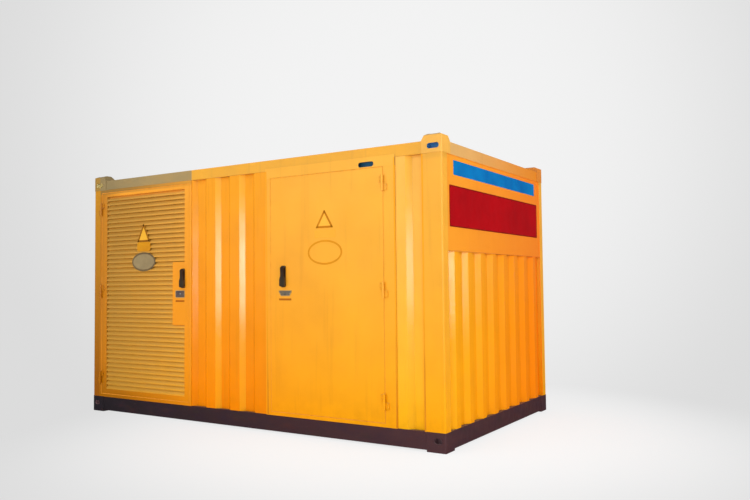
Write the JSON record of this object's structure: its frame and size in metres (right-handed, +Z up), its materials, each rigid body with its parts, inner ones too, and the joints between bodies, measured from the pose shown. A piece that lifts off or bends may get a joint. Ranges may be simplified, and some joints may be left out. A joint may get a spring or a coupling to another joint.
{
  "type": "containerised transformer station",
  "caption": "Steel container housing for a power transformer, with a louvre door, a plain door, corrugated walls, corner fittings and a dark base frame.",
  "frame": {"origin": "on the ground, at the middle of the rectangle of the four bottom corner fittings", "axes": "+X along the length, to the right seen from the front; +Y to the back, so the doors face -Y; +Z up"},
  "size_m": [4.45, 2.467, 2.655],
  "materials": {
    "yellow_paint": "semi-gloss melon yellow",
    "base_paint": "satin dark brown",
    "floor_paint": "matt dark grey",
    "black_handle": "satin black"
  },
  "bodies": {
    "housing": {"back_wall": "yellow_paint", "base_rail_back": "base_paint", "base_rail_front": "base_paint", "base_rail_left": "base_paint", "base_rail_right": "base_paint", "bottom_fitting_back_left": "base_paint", "bottom_fitting_back_right": "base_paint", "bottom_fitting_front_left": "base_paint", "bottom_fitting_front_right": "base_paint", "corner_post_back_left": "yellow_paint", "corner_post_back_right": "yellow_paint", "corner_post_front_left": "yellow_paint", "corner_post_front_right": "yellow_paint", "end_wall_left_lower": "yellow_paint", "end_wall_left_upper": "yellow_paint", "end_wall_right_lower": "yellow_paint", "end_wall_right_upper": "yellow_paint", "floor_bearers": "floor_paint", "floor_plate": "floor_paint", "front_wall_middle": "yellow_paint", "front_wall_right": "yellow_paint", "louvre_door_frame": "yellow_paint", "louvre_door_hinges_fixed": "yellow_paint", "plain_door_frame": "yellow_paint", "plain_door_header": "yellow_paint", "plain_door_hinges_fixed": "yellow_paint", "roof_end_plates": "yellow_paint", "roof_panel": "yellow_paint", "top_fitting_back_left": "yellow_paint", "top_fitting_back_right": "yellow_paint", "top_fitting_front_left": "yellow_paint", "top_fitting_front_right": "yellow_paint", "top_rail_back": "yellow_paint", "top_rail_front": "yellow_paint", "top_rail_left": "yellow_paint", "top_rail_right": "yellow_paint"},
    "louvre_door": {"louvre_door_leaf": "yellow_paint", "louvre_slats": "yellow_paint", "louvre_door_hinges_moving": "yellow_paint", "louvre_door_lever_base": "black_handle"},
    "louvre_lever": {"louvre_door_lever": "black_handle"},
    "plain_door": {"plain_door_leaf": "yellow_paint", "plain_door_hinges_moving": "yellow_paint", "plain_door_lever_base": "black_handle"},
    "plain_lever": {"plain_door_lever": "black_handle"}
  },
  "joints": [
    {"name": "louvre_door_hinge", "type": "hinge", "parent": "housing", "child": "louvre_door", "pos_m": [-2.0925, -1.233, 1.3], "axis": [0, 0, -1], "range_deg": [0, 110]},
    {"name": "plain_door_hinge", "type": "hinge", "parent": "housing", "child": "plain_door", "pos_m": [1.6485, -1.233, 1.3], "axis": [0, 0, 1], "range_deg": [0, 110]},
    {"name": "louvre_lever_turn", "type": "hinge", "parent": "louvre_door", "child": "louvre_lever", "pos_m": [-0.795, -1.227, 1.545], "axis": [0, 1, 0], "range_deg": [0, 90]},
    {"name": "plain_lever_turn", "type": "hinge", "parent": "plain_door", "child": "plain_lever", "pos_m": [0.541, -1.227, 1.545], "axis": [0, -1, 0], "range_deg": [0, 90]}
  ]
}
